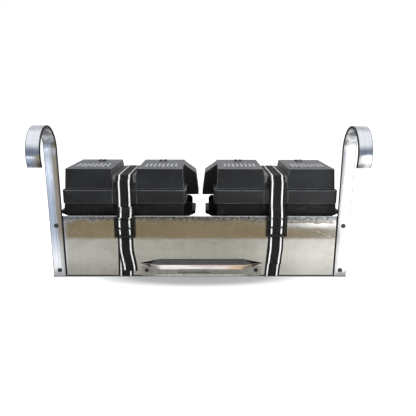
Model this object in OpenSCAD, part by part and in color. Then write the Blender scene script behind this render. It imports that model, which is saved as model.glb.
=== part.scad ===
// Twin battery boxes strapped into a hanging metal carrier tray.
// Millimetres, +Z up. X runs along the tray, -Y is the side the hooks reach out to.
// The origin is on the surface the carrier stands on, under the middle of its footprint.

/* [Carrier tray] */
// Outside length of the tray
tray_l = 746; // [740:1:780]
// Outside depth of the tray, front to back
tray_d = 216; // [214:1:240]
// Height of the tray's front wall
tray_h = 158; // [150:1:162]
// Height of the tray's rear wall, to which the end walls slope down
tray_rear_h = 50; // [30:1:100]
// Sheet thickness of the tray
tray_t = 1.5; // [1:0.1:2]
// Height of the folded hem along the front wall's top edge
hem_h = 12; // [8:1:16]

/* [Hooks] */
// Width of the flat bar
bar_w = 31.75; // [25:0.05:38]
// Thickness of the flat bar
bar_t = 4.8; // [3:0.1:6]
// Radius of the bend's outer face
hook_r = 62; // [50:1:80]
// Height of the bend's centre above the tray's underside
hook_z = 320; // [300:1:360]
// Angle that the bend goes on past a half turn
hook_curl = 24; // [0:1:40]
// Rounding of the bar's lower corners
bar_corner = 6; // [1:1:10]
// Heights of the two screws in each bar
bar_screw_z = [17, 134];
// Radius of a screw's shank
screw_r = 3; // [2.5:0.5:4]

/* [Trim plate] */
// Length of the trim plate
trim_l = 312; // [280:1:320]
// Height of the trim plate's shoulders
trim_h = 45; // [35:1:60]
// How far the ridge stands out
ridge_d = 14; // [8:1:18]
// Offset of the plate from the middle of the tray
trim_x = 3; // [-5:1:5]
// Distance between the plate's two screws
trim_screw_l = 279; // [250:1:290]

/* [Battery boxes] */
// Distance of each box's centre from the middle of the tray
box_x = 187.5; // [186:0.5:188.5]
// Height of the lid's lobes above the tray's underside
lid_top = 273; // [265:1:285]
// Height of the strap channel across the lid
channel_top = 256; // [245:1:262]
// Height of the skirt's lower edge
skirt_low = 188.4; // [180:0.1:195]
// Height of the skirt's upper edge
skirt_top = 220.8; // [215:0.1:225]
// Half length of the skirt
skirt_half_l = 152.7; // [150:0.1:153]
// Width of the skirt, front to back
skirt_w = 204; // [200:1:208]
// Wall thickness of the mouldings
wall = 3; // [2:0.5:4]
// Rounding of the mouldings' upright corners
corner_r = 9; // [5:1:12]
// Depth of the skirt's recess under the strap
recess_d = 2.5; // [1.5:0.5:3]

/* [Webbing] */
// Width of the webbing
strap_w = 38.1; // [25:0.1:50]
// Thickness of the webbing
strap_t = 1.6; // [1.2:0.1:2]
// Clearance between webbing and what it passes
strap_gap = 0.2; // [0.1:0.1:0.5]
// Centre of the left strap, and of the right strap, across the lid
strap_x = [-187.5, 190.4];
// Centre of each strap where it passes under the tray
strap_low_x = [-190, 183.2];

/* [Buckles] */
// Radius of the two bars that the webbing turns around
buckle_bar_r = 2.1; // [1.8:0.1:2.3]
// Width of the buckle
buckle_w = 52; // [48:1:56]
// Height of the buckle
buckle_h = 54; // [46:1:56]
// Height of the upper bar of the left and of the right buckle
bar_one_z = [154.5, 157.3];

/* [Hidden] */
$fn = 64;

// Placing: the webbing under the tray is the lowest part, and the footprint is centred.
tray_z = strap_t;
tray_y = (2 * hook_r - tray_d - strap_gap - strap_t) / 2;

// Tray
tray_corner_r = 2.5;

// Hooks and fasteners
bar_x = (tray_l - bar_w) / 2;
screw_hole_r = screw_r + 0.3;
screw_head_r = 6;
screw_head_h = 3.3;
screw_dome_r = 7.8;
socket_r = 2.3;
nut_r = 5.77;
nut_h = 5;
nut_bore_r = screw_r + 0.05;
shank_stick_out = 1.5;

// Trim plate
trim_t = 1.2;
trim_flange_z = 17;
trim_tip_z = 34.5;
trim_shoulder_l = 212;
trim_screw_z = 16;
ridge_nose_r = 1.5;

// Mouldings: half length and half width of the lobes at their foot and at their top
box_y = tray_d / 2;
foot_z = 225;
foot_half_l = 146.5;
foot_half_w = 93;
top_half_l = 143.5;
top_half_w = 90;
channel_half_top = 32;
channel_half_low = 29;
channel_edge_r = 8;
channel_ribs = [-26.5, -23, 23, 26.5];
recess_half_w = 29.5;
recess_wall = 2;
rib_w = 1.4;
hood_front = -1;
hood_back = 73;
hood_knee = [175, 250.5];
hood_foot = [182.5, 191.4];
hood_window = [228, 266];
shelf_z = skirt_top - wall;
tub_floor_z = tray_t;
tub_rim_z = shelf_z - 0.2;
tub_foot = [141, 91];
tub_rim = [147, 97];
handle_half_w = 46;
handle_out = 174.5;
handle_top = 158;
handle_ledge_t = 6;
handle_lip_t = 4;
handle_lip_h = 8;
handle_foot = [[160, 144], [tub_foot[0], 130]];
gusset_top = 181;
gusset_half_l = 165.5;
gusset_r = 10;
gusset_t = 4;
boss_x = 30;
boss_z = 179;
boss_r = 4.5;
cap_r = 11;
cap_h = 3;
cap_x = 84;
cap_y = 66;
cap_slot_w = 5;

// Webbing: the loops turn around the buckle's bars, whose centres lie this far out.
loop_r = buckle_bar_r + strap_gap;
bar_y = -(strap_gap + strap_t + loop_r);
back_plane = -strap_gap;
front_plane = bar_y - loop_r;
bar_two_drop = 9.7;
strap_edge_z = skirt_low + 1.1;
strap_over_z = channel_top + strap_gap;
recess_y = box_y - skirt_w / 2 + recess_d - strap_gap;
channel_y = box_y - top_half_w;
lower_end_z = 100;
loop_back_drop = 42.5;
loop_front_drop = 43;
tail_plane = back_plane - strap_t - strap_gap;
tab_join_z = 168;
tab_end_z = 180;

// Buckle
slot_w = 41;
rail_back = back_plane - 0.2;
rail_front = bar_y - 3.7;
lip_h = 6;
mid_bar_h = 3;
mid_bar_drop = 25;
buckle_front = rail_front - 1.8;
lip_d = 4.8;
mid_bar_d = 2.6;

// ---------- helpers ----------

// Puts what is drawn in the tray's own frame, whose front face is y = 0 and underside z = 0.
module at_tray() translate([0, tray_y, tray_z]) children();

// Puts what is drawn around a box's own middle; side is -1 on the left and 1 on the right.
module at_box(side) at_tray() translate([side * box_x, box_y, 0]) children();

// A rectangle with round corners, centred.
module round_rect(l, w, r) {
    square([l - 2 * r, w], center = true);
    square([l, w - 2 * r], center = true);
    for (sx = [-1, 1], sy = [-1, 1]) translate([sx * (l / 2 - r), sy * (w / 2 - r)]) circle(r);
}

// Draws a profile given as [x, z] points and extrudes it along Y from y0 to y1.
module along_y(y0, y1) translate([0, y1, 0]) rotate([90, 0, 0]) linear_extrude(y1 - y0) children();

// Draws a profile given as [y, z] points and extrudes it along X from x0 to x1.
module along_x(x0, x1)
    translate([x0, 0, 0]) rotate([90, 0, 90]) linear_extrude(x1 - x0) children();

// Points on an arc about c, from angle a0 to a1.
function arc(c, r, a0, a1, steps = 6) =
    [for (i = [0:steps]) let (a = a0 + (a1 - a0) * i / steps) c + r * [cos(a), sin(a)]];

// The unit normal to the left of the way from p to q.
function left_of(p, q) = let (d = q - p) [-d[1], d[0]] / norm(d);

// A closed outline from its right half, whose points run upwards.
function both_halves(pts) = let (n = len(pts))
    concat(pts, [for (i = [1:n]) [-pts[n - i][0], pts[n - i][1]]]);

// A line of points moved to its left by t, with mitred corners.
function beside(pts, t) = [for (i = [0:len(pts) - 1])
    let (a = left_of(pts[max(i - 1, 0)], pts[max(i, 1)]),
         b = left_of(pts[min(i, len(pts) - 2)], pts[min(i + 1, len(pts) - 1)]))
    pts[i] + t * (a + b) / (1 + a * b)];

// The outline of a band of thickness t that lies to the left of a line of points.
function band(pts, t) = let (far = beside(pts, t), n = len(pts))
    concat(pts, [for (i = [1:n]) far[n - i]]);

// Webbing along a line of [y, z] points, centred at x.
module webbing(pts, x)
    along_x(x - strap_w / 2, x + strap_w / 2) polygon(band(pts, strap_t));

// ---------- carrier ----------

// What the tray's upright corners leave of its panels.
module tray_outline() translate([0, box_y, 0])
    linear_extrude(tray_h) round_rect(tray_l, tray_d, tray_corner_r);

module tray_floor() color("silver") at_tray()
    translate([0, box_y, 0]) linear_extrude(tray_t) round_rect(tray_l, tray_d, tray_corner_r);

// The front wall, with its top edge folded over inwards.
module tray_front() color("silver") at_tray() difference() {
    intersection() {
        tray_outline();
        along_x(-tray_l / 2, tray_l / 2) polygon([[0, tray_t], [0, tray_h], [2 * tray_t, tray_h],
            [2 * tray_t, tray_h - hem_h], [tray_t, tray_h - hem_h], [tray_t, tray_t]]);
    }
    for (s = [-1, 1], z = bar_screw_z) screw_hole(s * bar_x, z);
    for (s = [-1, 1]) screw_hole(trim_x + s * trim_screw_l / 2, trim_screw_z);
}

module tray_rear() color("silver") at_tray() intersection() {
    tray_outline();
    translate([-tray_l / 2, tray_d - tray_t, tray_t]) cube([tray_l, tray_t, tray_rear_h - tray_t]);
}

// An end wall, which slopes from under the front wall's hem down to the rear wall.
module tray_end(side) at_tray() intersection() {
    tray_outline();
    mirror([side < 0 ? 1 : 0, 0, 0]) along_x(tray_l / 2 - tray_t, tray_l / 2)
        polygon([[tray_t, tray_t], [tray_t, tray_h - hem_h], [2 * tray_t, tray_h - hem_h],
            [tray_d - tray_t, tray_rear_h], [tray_d - tray_t, tray_t]]);
}
module tray_left_end() color("silver") tray_end(-1);
module tray_right_end() color("silver") tray_end(1);

// A screw hole through whatever lies behind the front face.
module screw_hole(x, z) translate([x, 8, z]) rotate([90, 0, 0]) cylinder(r = screw_hole_r, h = 30);

module hook(side) at_tray() translate([side * bar_x, 0, 0]) difference() {
    union() {
        along_y(-bar_t, 0) translate([0, hook_z / 2]) round_rect(bar_w, hook_z, bar_corner);
        along_y(-bar_t, 0) translate([-bar_w / 2, hook_z / 2]) square([bar_w, hook_z / 2]);
        translate([-bar_w / 2, -hook_r, hook_z]) rotate([90, 0, 90])
            rotate_extrude(angle = 180 + hook_curl, $fn = 128)
                translate([hook_r - bar_t, 0]) square([bar_t, bar_w]);
    }
    for (z = bar_screw_z) screw_hole(0, z);
}

module left_hook() color("lightsteelblue") hook(-1);
module right_hook() color("lightsteelblue") hook(1);

// A button-head screw pointing along +Y, with the underside of its head at y = 0.
module screw(grip) rotate([-90, 0, 0]) {
    cylinder(r = screw_r, h = grip + nut_h + shank_stick_out);
    difference() {
        intersection() {
            translate([0, 0, -screw_head_h]) cylinder(r = screw_head_r, h = screw_head_h);
            translate([0, 0, screw_dome_r - screw_head_h]) sphere(screw_dome_r);
        }
        translate([0, 0, -screw_head_h - 1]) cylinder(r = socket_r, h = 2.6, $fn = 6);
    }
}

// A hexagon nut whose seat is at y = 0 and which stands out along +Y.
module nut() rotate([-90, 0, 0]) difference() {
    cylinder(r = nut_r, h = nut_h, $fn = 6);
    translate([0, 0, -1]) cylinder(r = nut_bore_r, h = nut_h + 2, $fn = 48);
}

module hook_screws() color("dimgray") at_tray()
    for (s = [-1, 1], z = bar_screw_z) translate([s * bar_x, -bar_t, z]) screw(bar_t + tray_t);

module hook_nuts() color("gray") at_tray()
    for (s = [-1, 1], z = bar_screw_z)
        translate([s * bar_x, z > tray_h - hem_h - nut_r ? 2 * tray_t : tray_t, z]) nut();

// One corner of the ridge's foot, as a thin disc just in front of the tray.
module ridge_corner(x, z) translate([x, 0, z]) rotate([90, 0, 0]) cylinder(r = 0.4, h = 0.6, $fn = 8);

// The ridge: a long wedge with pointed ends, drawn shrunk by w on every side.
module ridge(w) {
    k = 1 - 2 * w / trim_h;
    hull() for (s = [-1, 1]) {
        ridge_corner(s * k * trim_l / 2, trim_tip_z);
        for (z = [trim_flange_z + w, trim_h - w]) ridge_corner(s * k * trim_shoulder_l / 2, z);
        translate([s * k * trim_shoulder_l / 2, w - ridge_d + ridge_nose_r, trim_tip_z])
            sphere(ridge_nose_r, $fn = 16);
    }
}

module trim_plate() color("gainsboro") at_tray() translate([trim_x, 0, 0]) difference() {
    union() {
        translate([-trim_l / 2 + 4, -trim_t, 0]) cube([trim_l - 8, trim_t, trim_flange_z + 8]);
        ridge(0);
    }
    translate([0, 0.1, 0]) ridge(trim_t);
    for (s = [-1, 1]) screw_hole(s * trim_screw_l / 2, trim_screw_z);
}

module trim_screws() color("dimgray") at_tray()
    for (s = [-1, 1])
        translate([trim_x + s * trim_screw_l / 2, -trim_t, trim_screw_z]) screw(trim_t + tray_t);

module trim_nuts() color("gray") at_tray()
    for (s = [-1, 1]) translate([trim_x + s * trim_screw_l / 2, tray_t, trim_screw_z]) nut();

// ---------- boxes ----------

// Upright walls that lean in towards the bottom: half sizes at z0 and z1.
module leaning_block(low, high, z0, z1) intersection() {
    along_y(-high[1], high[1])
        polygon([[-low[0], z0], [low[0], z0], [high[0], z1], [-high[0], z1]]);
    along_x(-high[0], high[0])
        polygon([[-low[1], z0], [low[1], z0], [high[1], z1], [-high[1], z1]]);
    translate([0, 0, z0]) linear_extrude(z1 - z0) round_rect(2 * high[0], 2 * high[1], corner_r);
}

// A handle at the +X end of a tub: a ledge with a turned-down lip, and two gussets.
module tub_handle() {
    lip_z = handle_top - handle_lip_h;
    along_y(-handle_half_w, handle_half_w) polygon([
        [tub_foot[0], handle_top - handle_ledge_t], [tub_foot[0], handle_top],
        [handle_out, handle_top], [handle_out, lip_z], [handle_out - handle_lip_t, lip_z],
        [handle_out - handle_lip_t, handle_top - handle_ledge_t]]);
    for (y = [-handle_half_w, handle_half_w - gusset_t]) along_y(y, y + gusset_t) {
        polygon(concat([[tub_foot[0], handle_top - 1], [tub_foot[0], gusset_top]],
            arc([gusset_half_l - gusset_r, gusset_top - gusset_r], gusset_r, 90, 0),
            [[gusset_half_l, handle_top - 1]]));
        polygon(concat(handle_foot, [[tub_foot[0], handle_top - 1],
            [handle_out - 1, handle_top - 1], [handle_out - 1, lip_z]]));
    }
}

module tub(side) at_box(side) {
    difference() {
        leaning_block(tub_foot, tub_rim, tub_floor_z, tub_rim_z);
        leaning_block(tub_foot - [wall, wall], tub_rim - [wall, wall], tub_floor_z + wall, tub_rim_z + 1);
    }
    for (sx = [-1, 1], sy = [-1, 1])
        translate([side * 1.5 + sx * boss_x, sy * (skirt_w / 2 - 0.5), boss_z])
            rotate([sy * 90, 0, 0]) cylinder(r = boss_r, h = 7.5);
}

module left_tub() color([0.13, 0.13, 0.14]) tub(-1);
module right_tub() color([0.13, 0.13, 0.14]) tub(1);

module tub_handles(side) at_box(side) difference() {
    for (s = [0, 1]) mirror([s, 0, 0]) tub_handle();
    leaning_block(tub_foot, tub_rim, tub_floor_z, tub_rim_z);
}
module left_tub_handles() color([0.15, 0.15, 0.16]) tub_handles(-1);
module right_tub_handles() color([0.15, 0.15, 0.16]) tub_handles(1);

// One lobe of the lid on the +X side, drawn shrunk by w; its foot spreads onto the skirt.
module lobe(w) intersection() {
    along_y(-skirt_w / 2, skirt_w / 2) polygon([
        [channel_half_low + w, shelf_z], [channel_half_low + w, channel_top - w],
        [channel_half_top + w, lid_top - w], [top_half_l - w, lid_top - w],
        [foot_half_l - w, foot_z - w / 2], [skirt_half_l - w, skirt_top - w / 2],
        [skirt_half_l - w, shelf_z]]);
    along_x(0, skirt_half_l) polygon(both_halves([
        [skirt_w / 2 - w, shelf_z], [skirt_w / 2 - w, skirt_top - w / 2],
        [foot_half_w - w, foot_z - w / 2], [top_half_w - w, lid_top - w]]));
    translate([0, 0, shelf_z]) linear_extrude(lid_top - shelf_z)
        round_rect(2 * (skirt_half_l - w), skirt_w - 2 * w, corner_r - w / 2);
}

// The low middle of the lid, whose front and rear edges are rounded for the strap.
module channel(w) along_x(-channel_half_low - wall, channel_half_low + wall)
    polygon(both_halves(concat(
        [[skirt_w / 2 - recess_d - w, shelf_z], [skirt_w / 2 - recess_d - w, skirt_top - w / 2],
         [foot_half_w - w, foot_z - w / 2]],
        arc([top_half_w - channel_edge_r, channel_top - channel_edge_r], channel_edge_r - w, 0, 90))));

// The skirt, from the height given, with its recesses under the strap.
module skirt(w, low) translate([0, 0, low]) linear_extrude(skirt_top - low - w) difference() {
    round_rect(2 * (skirt_half_l - w), skirt_w - 2 * w, corner_r - w / 2);
    for (s = [-1, 1]) translate([0, s * (skirt_w / 2 + 5 - recess_d - (w > 0 ? recess_wall : 0))])
        square([2 * recess_half_w, 10], center = true);
}

// Puts what is drawn for the +X end at the end of the box that faces the other box.
module at_inner_end(side) mirror([side > 0 ? 1 : 0, 0, 0]) children();

// The lid's walls: the skirt, the channel and both lobes, hollow, with the hood's window.
module lid_shell(side) difference() {
    union() {
        skirt(0, skirt_low);
        channel(0);
        for (s = [0, 1]) mirror([s, 0, 0]) lobe(0);
    }
    skirt(wall, skirt_low - 1);
    channel(wall);
    for (s = [0, 1]) mirror([s, 0, 0]) lobe(wall);
    at_inner_end(side) translate([top_half_l - 2 * wall, hood_front + wall, hood_window[0]])
        cube([3 * wall, hood_back - hood_front - 2 * wall, hood_window[1] - hood_window[0]]);
}

// All that lies above the skirt and outside the channel at the +X end.
module lobe_zone() translate([channel_half_low, -skirt_w / 2, skirt_top])
    cube([skirt_half_l - channel_half_low, skirt_w, lid_top - skirt_top]);

module lid(side) at_box(side) {
    difference() {
        lid_shell(side);
        for (s = [0, 1]) mirror([s, 0, 0]) lobe_zone();
    }
    for (x = channel_ribs) translate([x, 0, channel_top - 1])
        cube([rib_w, 2 * (top_half_w - channel_edge_r), 2], center = true);
}

module lid_lobes(side) at_box(side) intersection() {
    lid_shell(side);
    for (s = [0, 1]) mirror([s, 0, 0]) lobe_zone();
}

// The cover over the cable outlet, open underneath and towards the lid.
module lid_hood(side) at_box(side) at_inner_end(side) difference() {
    along_y(hood_front, hood_back) polygon([
        [skirt_half_l - 1, hood_foot[1]], [skirt_half_l - 1, skirt_top], [foot_half_l - 1, foot_z],
        [top_half_l - 1, lid_top - 1], [top_half_l, lid_top], hood_knee, hood_foot]);
    along_y(hood_front + wall, hood_back - wall) polygon([
        [top_half_l - wall, hood_foot[1] - 1], [top_half_l - wall, hood_window[1]],
        [top_half_l, hood_window[1]], hood_knee - [wall, wall],
        [hood_foot[0] - wall, hood_foot[1] - 1]]);
    lobe(0);
    skirt(0, skirt_low);
}

module left_lid() color([0.16, 0.16, 0.17]) lid(-1);
module right_lid() color([0.16, 0.16, 0.17]) lid(1);

module left_lid_lobes() color([0.18, 0.18, 0.19]) lid_lobes(-1);
module right_lid_lobes() color([0.18, 0.18, 0.19]) lid_lobes(1);

module left_lid_hood() color([0.14, 0.14, 0.15]) lid_hood(-1);
module right_lid_hood() color([0.14, 0.14, 0.15]) lid_hood(1);

// A low round vent cap on each lobe, with a slot across its top.
module vent_caps(side) at_box(side) for (s = [-1, 1]) translate([s * cap_x, cap_y, lid_top]) difference() {
    cylinder(r = cap_r, h = cap_h);
    translate([0, 0, cap_h]) cube([cap_slot_w, 3 * cap_r, cap_h], center = true);
}

module left_vent_caps() color([0.08, 0.08, 0.08]) vent_caps(-1);
module right_vent_caps() color([0.08, 0.08, 0.08]) vent_caps(1);

// ---------- webbing ----------

// Half a turn of webbing around a buckle bar at height z, below the bar or above it.
module half_turn(x, z, below) along_x(x - strap_w / 2, x + strap_w / 2)
    translate([bar_y, z]) difference() {
        circle(loop_r + strap_t);
        circle(loop_r);
        translate([0, (below ? 1 : -1) * 10]) square(20, center = true);
    }

// The way over the lid, from a buckle's upper bar at the front to the skirt's foot at the rear.
function over_lid(plane, z) = let (c = channel_y + channel_edge_r, cz = channel_top - channel_edge_r,
        r = channel_edge_r + strap_gap)
    concat([[plane, z], [plane, tray_h + 3], [recess_y, strap_edge_z], [recess_y, skirt_top + 0.3]],
        arc([c, cz], r, 165, 90), arc([2 * box_y - c, cz], r, 90, 15),
        [[2 * box_y - recess_y, skirt_top + 0.3], [2 * box_y - recess_y, skirt_low - 2]]);

module strap_upper(i, plane) at_tray() {
    webbing(over_lid(plane, bar_one_z[i]), strap_x[i]);
    half_turn(strap_x[i], bar_one_z[i], true);
}

// The left strap's sewn end lies in front of the strap; the right strap's lies behind it.
module left_strap_upper() color([0.1, 0.1, 0.1]) strap_upper(0, back_plane);
module right_strap_upper() color([0.1, 0.1, 0.1]) strap_upper(1, front_plane);

module left_strap_tab() color([0.18, 0.18, 0.18]) at_tray()
    webbing([[front_plane, bar_one_z[0]], [front_plane, bar_one_z[0] + 3],
             [-0.2, tab_join_z], [3.3, tab_end_z]], strap_x[0]);

module right_strap_tab() color([0.18, 0.18, 0.18]) at_tray()
    webbing([[back_plane, bar_one_z[1]], [back_plane, tab_join_z], [6.1, tab_end_z + 1]], strap_x[1]);

// Down the rear, under the tray and up the front, leaning to the place where it passes under.
module strap_lower(i) at_tray() {
    x = strap_x[i];
    low_x = strap_low_x[i];
    half = strap_w / 2;
    rear = tray_d + strap_gap;
    along_y(-strap_gap - strap_t, -strap_gap) polygon([[low_x - half, -strap_t], [low_x + half, -strap_t],
        [x + half, lower_end_z], [x - half, lower_end_z]]);
    translate([low_x - half, -strap_gap - strap_t, -strap_t])
        cube([strap_w, rear + strap_gap + 2 * strap_t, strap_t]);
    along_y(rear, rear + strap_t) polygon([[low_x - half, -strap_t], [low_x + half, -strap_t],
        [x + half, tray_rear_h + 3], [x - half, tray_rear_h + 3]]);
    webbing([[2 * box_y - recess_y, skirt_low - 3], [rear, tray_rear_h + 3], [rear, tray_rear_h]], x);
}

module left_strap_lower() color([0.1, 0.1, 0.1]) strap_lower(0);
module right_strap_lower() color([0.1, 0.1, 0.1]) strap_lower(1);

// The webbing threaded through a buckle: up behind the lower bar, over it and down the front.
module strap_loop(i) at_tray() {
    z = bar_one_z[i] - bar_two_drop;
    translate([strap_x[i] - strap_w / 2, back_plane - strap_t, z - loop_back_drop])
        cube([strap_w, strap_t, loop_back_drop]);
    half_turn(strap_x[i], z, false);
    webbing([[tail_plane, z - loop_front_drop], [front_plane, z - 3], [front_plane, z]], strap_x[i]);
}

module left_strap_loop() color([0.14, 0.14, 0.14]) strap_loop(0);
module right_strap_loop() color([0.14, 0.14, 0.14]) strap_loop(1);

// The free end of the webbing, hanging in front of the lower run; its outline is [x, z] from its top.
module strap_tail(i, outline) at_tray()
    translate([strap_x[i], tail_plane, bar_one_z[i] - bar_two_drop - loop_front_drop - 1]) {
        along_y(-strap_t, 0) polygon(outline);
        translate([0, -strap_t / 2, 0]) rotate([0, 90, 0])
            cylinder(r = strap_t / 2, h = strap_w, center = true, $fn = 32);
    }

module left_strap_tail() color([0.12, 0.12, 0.12]) strap_tail(0, [[-strap_w / 2, 0], [-strap_w / 2, -38],
    [-11, -84], [21, -87], [27, -70], [strap_w / 2, -38], [strap_w / 2, 0]]);
module right_strap_tail() color([0.12, 0.12, 0.12]) strap_tail(1, [[-strap_w / 2, 0], [-22, -71],
    [13, -72], [16, -64], [strap_w / 2, 0]]);

// ---------- buckles ----------

// A ladder buckle: two rails, an upper bar for the sewn end, a lower bar that grips the
// threaded webbing, and two flat bars across the front.
module buckle(i) at_tray() translate([strap_x[i], 0, bar_one_z[i]]) {
    top = 3.7;
    foot = top - buckle_h;
    half = buckle_w / 2;
    for (s = [-1, 1]) along_x(s > 0 ? slot_w / 2 : -half, s > 0 ? half : -slot_w / 2) {
        translate([bar_y, 0]) circle(top);
        translate([rail_front, foot]) square([rail_back - rail_front, -foot]);
    }
    for (z = [0, -bar_two_drop]) translate([0, bar_y, z]) rotate([0, 90, 0])
        cylinder(r = buckle_bar_r, h = buckle_w - 2, center = true);
    along_x(-half, half) translate([buckle_front, foot]) square([lip_d, lip_h]);
    along_x(-half, half) translate([buckle_front, -mid_bar_drop - mid_bar_h]) square([mid_bar_d, mid_bar_h]);
}

module left_buckle() color([0.05, 0.05, 0.05]) buckle(0);
module right_buckle() color([0.05, 0.05, 0.05]) buckle(1);

tray_floor();
tray_front();
tray_rear();
tray_left_end();
tray_right_end();
left_hook();
right_hook();
hook_screws();
hook_nuts();
trim_plate();
trim_screws();
trim_nuts();
left_tub();
right_tub();
left_tub_handles();
right_tub_handles();
left_lid();
right_lid();
left_lid_lobes();
right_lid_lobes();
left_lid_hood();
right_lid_hood();
left_vent_caps();
right_vent_caps();
left_strap_upper();
right_strap_upper();
left_strap_tab();
right_strap_tab();
left_strap_lower();
right_strap_lower();
left_strap_loop();
right_strap_loop();
left_buckle();
right_buckle();
left_strap_tail();
right_strap_tail();
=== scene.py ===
"""A metal carrier that hangs on two hooks, with two strapped battery boxes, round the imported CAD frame.

Pieces are in millimetres in the tray's own frame (x = 0 in the middle, y = 0 on the front face, z = 0
under the tray) until at() turns them into the row's metres. Materials and surroundings are in metres.
"""
import math

import bmesh
import bpy
from mathutils import Matrix, Vector


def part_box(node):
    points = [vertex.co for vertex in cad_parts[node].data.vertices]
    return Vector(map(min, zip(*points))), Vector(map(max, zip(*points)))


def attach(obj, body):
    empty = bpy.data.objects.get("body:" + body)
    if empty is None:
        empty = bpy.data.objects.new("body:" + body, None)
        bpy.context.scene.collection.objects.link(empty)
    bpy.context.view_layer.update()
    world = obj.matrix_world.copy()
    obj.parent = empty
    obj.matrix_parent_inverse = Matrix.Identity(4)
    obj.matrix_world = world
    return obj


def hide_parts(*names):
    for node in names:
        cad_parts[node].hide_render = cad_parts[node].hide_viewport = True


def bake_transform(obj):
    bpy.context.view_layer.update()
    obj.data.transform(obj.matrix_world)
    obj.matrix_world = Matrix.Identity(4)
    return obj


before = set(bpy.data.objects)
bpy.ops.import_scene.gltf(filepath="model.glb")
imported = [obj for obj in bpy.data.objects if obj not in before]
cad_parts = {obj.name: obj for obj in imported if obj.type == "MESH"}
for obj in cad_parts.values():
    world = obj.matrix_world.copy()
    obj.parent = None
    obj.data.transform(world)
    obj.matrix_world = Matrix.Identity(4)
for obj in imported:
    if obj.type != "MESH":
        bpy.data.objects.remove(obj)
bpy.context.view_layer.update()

MM = 0.001
SIDES = {"left": -1, "right": 1}

FLOOR_LOW, FLOOR_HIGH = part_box("tray_floor")
FRONT, BASE = FLOOR_LOW.y, FLOOR_LOW.z
TRAY_L = (FLOOR_HIGH.x - FLOOR_LOW.x) / MM
TRAY_D = (FLOOR_HIGH.y - FLOOR_LOW.y) / MM
TRAY_H = (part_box("tray_front")[1].z - BASE) / MM
BOX_X = 187.5
BOX_Y = 108
LID_TOP = 273


def at(x, y, z):
    """A point given in the tray's millimetres, in the row's metres."""
    return Vector((x * MM, FRONT + y * MM, BASE + z * MM))


def tray_box(node):
    """A CAD node's lowest and highest corners in the tray's millimetres."""
    return [(c.x / MM, (c.y - FRONT) / MM, (c.z - BASE) / MM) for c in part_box(node)]


# ---------- camera ----------

# The place is in the tray's millimetres, the angles are in degrees, and the shift is a share of the image.
CAMERA_PLACE = (10.7, -1150.0, 445.3)
CAMERA_PITCH = 15.10
CAMERA_YAW = -0.440
CAMERA_ROLL = 0.173
CAMERA_LENS = 41.27
SENSOR_WIDTH = 36
IMAGE_SIZE = 416
CAMERA_SHIFT = 17 / IMAGE_SIZE


def make_camera():
    """The camera in front of the tray, looking slightly down."""
    data = bpy.data.cameras.new("camera")
    data.sensor_width = SENSOR_WIDTH
    data.lens = CAMERA_LENS
    data.shift_y = CAMERA_SHIFT
    camera = bpy.data.objects.new("camera", data)
    turn = (Matrix.Rotation(math.radians(CAMERA_YAW), 4, "Z")
            @ Matrix.Rotation(math.radians(90 - CAMERA_PITCH), 4, "X")
            @ Matrix.Rotation(math.radians(CAMERA_ROLL), 4, "Z"))
    camera.matrix_world = Matrix.Translation(at(*CAMERA_PLACE)) @ turn
    bpy.context.scene.collection.objects.link(camera)
    bpy.context.scene.camera = camera


make_camera()


# ---------- shader building ----------

class Shader:
    """A node material with short ways to add the nodes that the looks below need."""

    def __init__(self, name, metallic=0.0):
        self.material = bpy.data.materials.new(name)
        self.material.use_nodes = True
        self.tree = self.material.node_tree
        self.surface = self.tree.nodes["Principled BSDF"]
        self.surface.inputs["Metallic"].default_value = metallic

    def add(self, kind, inputs=None, **settings):
        node = self.tree.nodes.new(kind)
        for key, value in settings.items():
            setattr(node, key, value)
        for key, value in (inputs or {}).items():
            self.feed(node.inputs[key], value)
        return node

    def feed(self, socket, value):
        if isinstance(value, bpy.types.NodeSocket):
            self.tree.links.new(value, socket)
        elif isinstance(value, (tuple, list)) and len(value) == 3 and socket.type == "RGBA":
            socket.default_value = (*value, 1)
        else:
            socket.default_value = value

    def place(self, kind="Object", scale=(1, 1, 1)):
        source = self.add("ShaderNodeTexCoord").outputs[kind]
        return self.add("ShaderNodeMapping", {"Vector": source, "Scale": scale}).outputs[0]

    def noise(self, vector, scale, detail=3.0, roughness=0.55):
        return self.add("ShaderNodeTexNoise", {"Vector": vector, "Scale": scale, "Detail": detail,
                                               "Roughness": roughness}).outputs["Fac"]

    def math(self, operation, a, b=0.0):
        return self.add("ShaderNodeMath", {0: a, 1: b}, operation=operation).outputs[0]

    def between(self, value, low, high, out_low=0.0, out_high=1.0):
        return self.add("ShaderNodeMapRange", {"Value": value, "From Min": low, "From Max": high,
                                               "To Min": out_low, "To Max": out_high}).outputs[0]

    def blend(self, fac, a, b):
        node = self.add("ShaderNodeMix", data_type="RGBA")
        self.feed(node.inputs["Factor"], fac)
        self.feed(node.inputs[6], a)
        self.feed(node.inputs[7], b)
        return node.outputs[2]

    def bump(self, height, distance, strength=1.0, normal=None):
        inputs = {"Height": height, "Distance": distance, "Strength": strength}
        if normal is not None:
            inputs["Normal"] = normal
        return self.add("ShaderNodeBump", inputs).outputs[0]

    def edges(self, width, low=0.01, high=0.12):
        """1 along sharp edges, fading to 0 at width metres from them."""
        soft = self.add("ShaderNodeBevel", {"Radius": width}, samples=4).outputs[0]
        true = self.add("ShaderNodeNewGeometry").outputs["Normal"]
        same = self.add("ShaderNodeVectorMath", {0: soft, 1: true}, operation="DOT_PRODUCT").outputs["Value"]
        return self.between(same, 1 - low, 1 - high)

    def finish(self, colour, roughness, normal=None, **others):
        self.feed(self.surface.inputs["Base Color"], colour)
        self.feed(self.surface.inputs["Roughness"], roughness)
        if normal is not None:
            self.feed(self.surface.inputs["Normal"], normal)
        for key, value in others.items():
            self.feed(self.surface.inputs[key.replace("_", " ")], value)
        return self.material


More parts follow.
